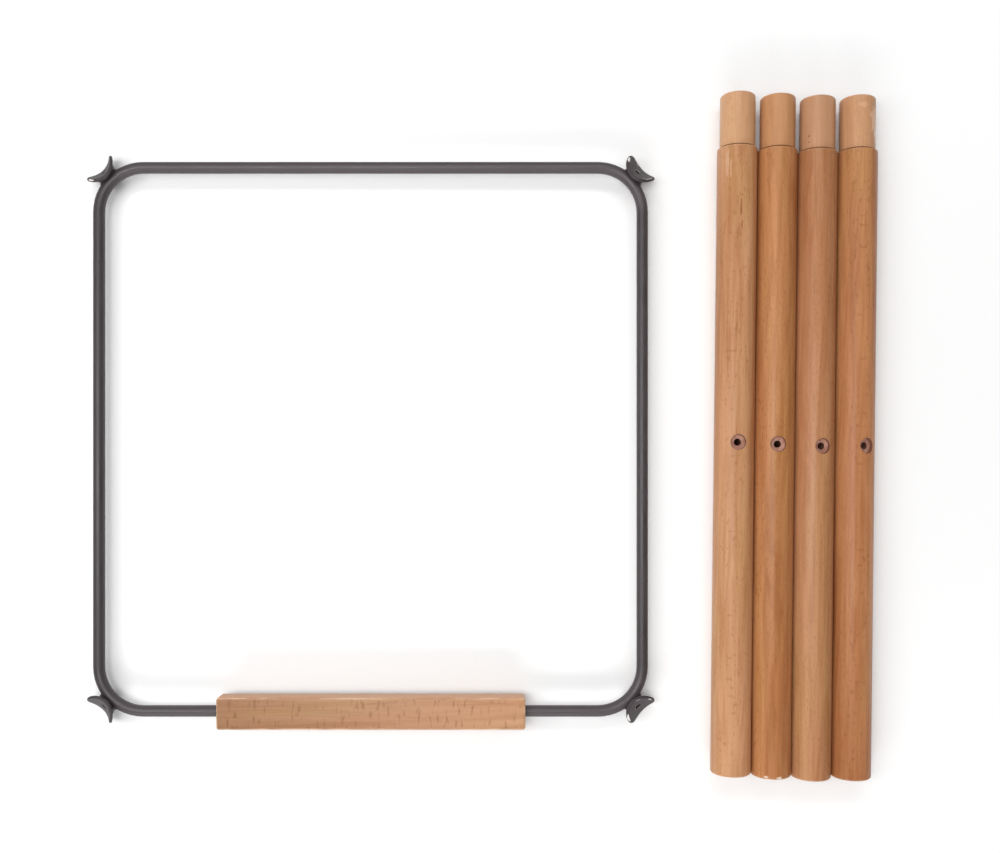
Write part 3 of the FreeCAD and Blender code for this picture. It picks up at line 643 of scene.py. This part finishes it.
def bent_plate(corner, turn, material):
    """A round plate with eased edges, bent to the leg's curve."""
    outline = plate_profile()
    # the way run along the outline, and where on it the middle of the rim is
    runs = [0.0]
    for before, after in zip(outline, outline[1:]):
        runs.append(runs[-1] + math.dist(before, after))
    farthest = max((distance, run) for (distance, _), run in zip(outline, runs))
    rim_run = farthest[1] - (PLATE_THICKNESS / 2 - PLATE_EASE)
    around = 168
    middle = HOLLOW_RADIUS + PLATE_THICKNESS / 2
    axis_x = PLATE_REACH + HOLLOW_RADIUS
    mesh = bpy.data.meshes.new(f"saddle_plate_{corner}")
    bm = bmesh.new()
    # each vertex keeps how worn it is, painted glints included
    wear_and_glint = bm.verts.layers.float.new("wear_and_glint")
    rings = []
    for index in range(around):
        angle = 2 * math.pi * index / around
        ring = []
        for (distance, offset), run in zip(outline, runs):
            across, up = distance * math.sin(angle), distance * math.cos(angle)
            bend = across / middle
            reach = middle + offset
            x, y = axis_x - reach * math.cos(bend), reach * math.sin(bend)
            vert = bm.verts.new((x, y, up - ROD_RISE))
            vert[wear_and_glint] = wear_and_glint_at(corner, angle, distance, run - rim_run)
            ring.append(vert)
        rings.append(ring)
    for index in range(around):
        here, there = rings[index], rings[(index + 1) % around]
        for step in range(len(outline)):
            after = (step + 1) % len(outline)
            bm.faces.new((here[step], here[after], there[after], there[step]))
    bmesh.ops.recalc_face_normals(bm, faces=bm.faces)
    bm.to_mesh(mesh)
    bm.free()
    piece = bpy.data.objects.new(f"saddle_plate_{corner}", mesh)
    bpy.context.scene.collection.objects.link(piece)
    smooth(piece, 40)
    settle(piece, corner_frame(corner, turn))
    ready(piece, material, "frame", "painted_steel", f"saddle_{corner}")


def weld_bead(corner, material):
    """The corner's welds run together as one lumpy bead."""
    names = (f"weld_rod_{corner}", f"weld_saddle_{corner}")
    bm = bmesh.new()
    for name in names:
        bm.from_mesh(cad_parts[name].data)
    mesh = bpy.data.meshes.new(f"weld_bead_{corner}")
    bm.to_mesh(mesh)
    bm.free()
    piece = bpy.data.objects.new(f"weld_bead_{corner}", mesh)
    bpy.context.scene.collection.objects.link(piece)
    melt = piece.modifiers.new("melt", "REMESH")
    melt.mode = "VOXEL"
    melt.voxel_size = 0.4 * MM
    soften = piece.modifiers.new("soften", "SMOOTH")
    soften.factor = 0.5
    soften.iterations = 4
    apply_modifiers(piece)
    # coarse and fine lumps, in millimetres, on a bead that is a little fuller than the CAD's
    fuller = 0.22
    for vertex in piece.data.vertices:
        lump = noise.noise(vertex.co * 520) * 0.34 + noise.noise(vertex.co * 1300) * 0.12
        vertex.co += vertex.normal * (fuller + lump) * MM
    smooth(piece, 180)
    ready(piece, material, "frame", "weld_metal", *names)


ROD_PAINT = (0.040, 0.032, 0.035, 1.0)
PLATE_PAINT = (0.034, 0.026, 0.029, 1.0)
WELD_PAINT = (0.032, 0.025, 0.026, 1.0)
# painted light: the ring's paint is made greyer this far to the front and the rear
LIGHT_PAINTED_BEYOND = 235 * MM

plate_paint = paint("satin_paint_worn_and_glinting", PLATE_PAINT, 0.3, (0.50, 0.62), wear_and_glint="wear_and_glint")
weld_paint = paint("painted_weld", WELD_PAINT, 0.7, (0.36, 0.5))
for corner, turn in CORNERS:
    bent_plate(corner, turn, plate_paint)
    weld_bead(corner, weld_paint)

# the CAD nodes that stay get better materials
carried = {"ring_rod": paint("satin_paint_with_painted_light", ROD_PAINT, light_painted_beyond=LIGHT_PAINTED_BEYOND)}
carried["footrest"] = footrest_material()
for name in ("footrest_screw_left", "footrest_screw_right"):
    carried[name] = screw_material()
boss_paint = paint("satin_paint", ROD_PAINT)
for corner, _ in CORNERS:
    carried[f"boss_{corner}"] = boss_paint
for node, material in carried.items():
    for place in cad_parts[node].material_slots:
        place.material = material


# --- floor, light and camera -------------------------------------------------------------------------

def studio():
    """A pale floor, four softboxes round the camera, and a soft white surround."""
    bpy.ops.mesh.primitive_plane_add(size=60)
    floor = bpy.context.object
    floor.name = "floor"
    s = Shader("floor_paper")
    fleck = s.noise(s.place(), 240, 3.0)
    colour = s.mix(fleck, (0.93, 0.93, 0.93, 1), (0.95, 0.95, 0.95, 1))
    # the paper glows beyond the lights' reach, so that it stays pale to the horizon
    lit, unlit = 0.45, 2.4
    place = s.axes(s.place())
    glow = s.ramp(s.hypot(place[0], place[1]), lit, unlit, 0.0, 0.66, smooth=False)
    s.put(s.surface.inputs["Emission Strength"], glow)
    white = (1, 1, 1, 1)
    normal = s.bump(fleck, 0.02 * MM)
    s.finish(colour, 0.9, normal, Specular_IOR_Level=0.1, Emission_Color=white)
    floor.data.materials.append(s.material)

    world = bpy.data.worlds.new("studio")
    bpy.context.scene.world = world
    world.use_nodes = True
    tree = world.node_tree
    background = tree.nodes["Background"]
    background.inputs["Color"].default_value = white
    # the surround gives little light, and is as pale as the floor where it is seen
    seen = tree.nodes.new("ShaderNodeLightPath").outputs["Is Camera Ray"]
    strength = tree.nodes.new("ShaderNodeMapRange")
    strength.inputs["To Min"].default_value = 0.31
    strength.inputs["To Max"].default_value = 0.93
    tree.links.new(seen, strength.inputs["Value"])
    tree.links.new(strength.outputs["Result"], background.inputs["Strength"])

    # name, place, across, along Y, watts
    boxes = [
        ("left_box", (-0.80, 0.0, 1.7), 0.7, 1.9, 16),
        ("over_box", (-0.25, -0.10, 1.8), 0.8, 0.5, 7),
        ("rear_box", (0.0, 1.15, 1.6), 1.9, 0.35, 10),
        ("front_box", (-0.2, -1.6, 0.95), 1.9, 0.35, 13),
    ]
    for name, spot, across, deep, watts in boxes:
        light = bpy.data.lights.new(name, "AREA")
        light.shape = "RECTANGLE"
        light.size = across
        light.size_y = deep
        light.energy = watts
        lamp = bpy.data.objects.new(name, light)
        bpy.context.scene.collection.objects.link(lamp)
        lamp.location = spot
        lamp.rotation_euler = (-Vector(spot)).to_track_quat("-Z", "Y").to_euler()
        lamp.visible_camera = False


def camera():
    """Straight above the set, as the photograph was taken, and shifted to its framing."""
    data = bpy.data.cameras.new("camera")
    data.lens = 35.46
    data.sensor_width = 36
    data.shift_x = -0.007
    data.shift_y = 0.0535
    eye = bpy.data.objects.new("camera", data)
    bpy.context.scene.collection.objects.link(eye)
    eye.location = (0.0264, -0.0440, 1.015)
    bpy.context.scene.camera = eye


studio()
camera()
bpy.context.scene.view_settings.view_transform = "Standard"
